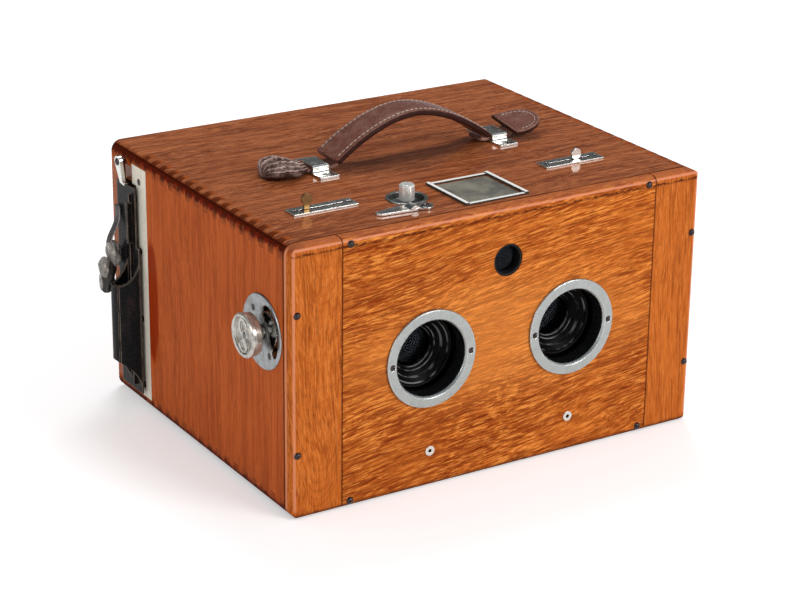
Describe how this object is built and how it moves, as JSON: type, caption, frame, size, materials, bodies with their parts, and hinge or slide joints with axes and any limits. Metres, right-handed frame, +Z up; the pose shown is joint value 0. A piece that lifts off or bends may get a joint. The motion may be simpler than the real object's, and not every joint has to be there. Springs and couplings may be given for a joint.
{
  "type": "stereo box camera",
  "caption": "Wooden stereo box camera with sunk lenses, reflecting finder, leather handle, side winder and a slide-in plate magazine.",
  "frame": {"origin": "centre of the flat underside", "axes": "+Z up, the lenses look along -Y, +X to the right of the front as seen from the front"},
  "size_m": [0.254, 0.1934, 0.1647],
  "materials": {
    "wood_top": "gloss",
    "wood_side": "gloss",
    "wood_front": "gloss",
    "black_wood": "matte",
    "nickel": "satin",
    "brass": "satin",
    "dark_screw": "satin",
    "dark_steel": "satin",
    "black_metal": "satin",
    "glass": "gloss",
    "ground_glass": "matte",
    "mirror": "gloss",
    "leather": "satin",
    "bag_leather": "matte"
  },
  "bodies": {
    "case": {"top_board": "wood_top", "bottom_board": "wood_top", "left_board": "wood_side", "right_board": "wood_side", "rear_board": "wood_side", "front_panel": "wood_front", "front_end_pieces": "wood_front", "panel_screws": "dark_screw", "eyelets": "nickel", "lens_ring_left": "nickel", "lens_ring_right": "nickel", "ring_screws": "dark_screw", "guide_rods": "nickel", "shutter_board": "black_wood", "shutter_rails": "brass", "dial_plate": "nickel", "cage_plate": "brass", "spring_barrel": "brass", "mainspring": "dark_steel", "shaft_bracket": "brass", "trip_bearings": "brass", "trip_spring": "dark_steel", "release_cup": "nickel", "stop_rails": "brass", "slot_plates": "nickel", "fitting_screws": "dark_screw", "finder_box": "black_metal", "finder_lens": "glass", "finder_mirror": "mirror", "finder_glass": "ground_glass", "finder_frame": "nickel", "septum": "black_wood", "handle_loops": "nickel", "edge_plate": "nickel", "magazine_guide": "wood_top"},
    "lens_carrier": {"lens_board": "black_wood", "lens_barrel_left": "black_metal", "lens_barrel_right": "black_metal", "lens_glasses": "glass"},
    "focus_tab": {"focus_slide": "brass"},
    "stop_tab": {"stop_slide": "brass"},
    "winder": {"winding_knob": "nickel", "knob_screw": "dark_screw", "winding_shaft": "nickel", "pinion": "brass", "ratchet_wheel": "brass"},
    "shutter": {"shutter_plate": "dark_steel", "shutter_rack": "brass"},
    "release": {"release_button": "nickel"},
    "trip": {"trip_shaft": "dark_steel"},
    "catch": {"time_catch": "nickel"},
    "hook": {"latch_hook": "nickel"},
    "handle": {"handle_grip": "leather", "handle_tabs": "leather"},
    "magazine": {"magazine_case": "black_metal", "plate_sheaths": "dark_steel", "glass_plates": "glass", "pressure_spring": "dark_steel", "changing_bag": "bag_leather"},
    "slide": {"dark_slide": "black_metal"}
  },
  "joints": [
    {"name": "winding", "type": "hinge", "parent": "case", "child": "winder", "pos_m": [-0.121, -0.0685, 0.0895], "axis": [1, 0, 0], "range_deg": [0, 286.5]},
    {"name": "shutter_travel", "type": "slide", "parent": "case", "child": "shutter", "axis": [0, 0, 1], "range_m": [0, 0.036]},
    {"name": "release_press", "type": "slide", "parent": "case", "child": "release", "axis": [0, 0, -1], "range_m": [0, 0.0022], "stiffness_N_per_m": 400},
    {"name": "trip_rock", "type": "hinge", "parent": "case", "child": "trip", "pos_m": [-0.07, -0.076, 0.124], "axis": [-1, 0, 0], "range_deg": [0, 8.41]},
    {"name": "catch_turn", "type": "hinge", "parent": "case", "child": "catch", "pos_m": [-0.0346, -0.0775, 0.1408], "axis": [0, 0, 1], "range_deg": [0, 15]},
    {"name": "stop_choice", "type": "slide", "parent": "case", "child": "stop_tab", "axis": [1, 0, 0], "range_m": [0, 0.019]},
    {"name": "focusing", "type": "slide", "parent": "case", "child": "focus_tab", "axis": [1, 0, 0], "range_m": [-0.014, 0.007]},
    {"name": "lens_travel", "type": "slide", "parent": "case", "child": "lens_carrier", "axis": [0, 1, 0], "range_m": [-0.0028, 0.0014]},
    {"name": "hook_turn", "type": "hinge", "parent": "case", "child": "hook", "pos_m": [-0.1215, 0.08, 0.1334], "axis": [1, 0, 0], "range_deg": [0, 100]},
    {"name": "handle_shift", "type": "slide", "parent": "case", "child": "handle", "axis": [1, 0, 0], "range_m": [-0.002, 0.002]},
    {"name": "magazine_draw", "type": "slide", "parent": "case", "child": "magazine", "axis": [-1, 0, 0], "range_m": [0, 0.225]},
    {"name": "dark_slide_draw", "type": "slide", "parent": "magazine", "child": "slide", "axis": [-1, 0, 0], "range_m": [0, 0.2]}
  ],
  "couplings": [
    {"joint": "winding", "follows": "shutter_travel", "rad_per_m": 138.89},
    {"joint": "trip_rock", "follows": "release_press", "rad_per_m": 66.667},
    {"joint": "lens_travel", "follows": "focusing", "ratio": 0.2}
  ]
}
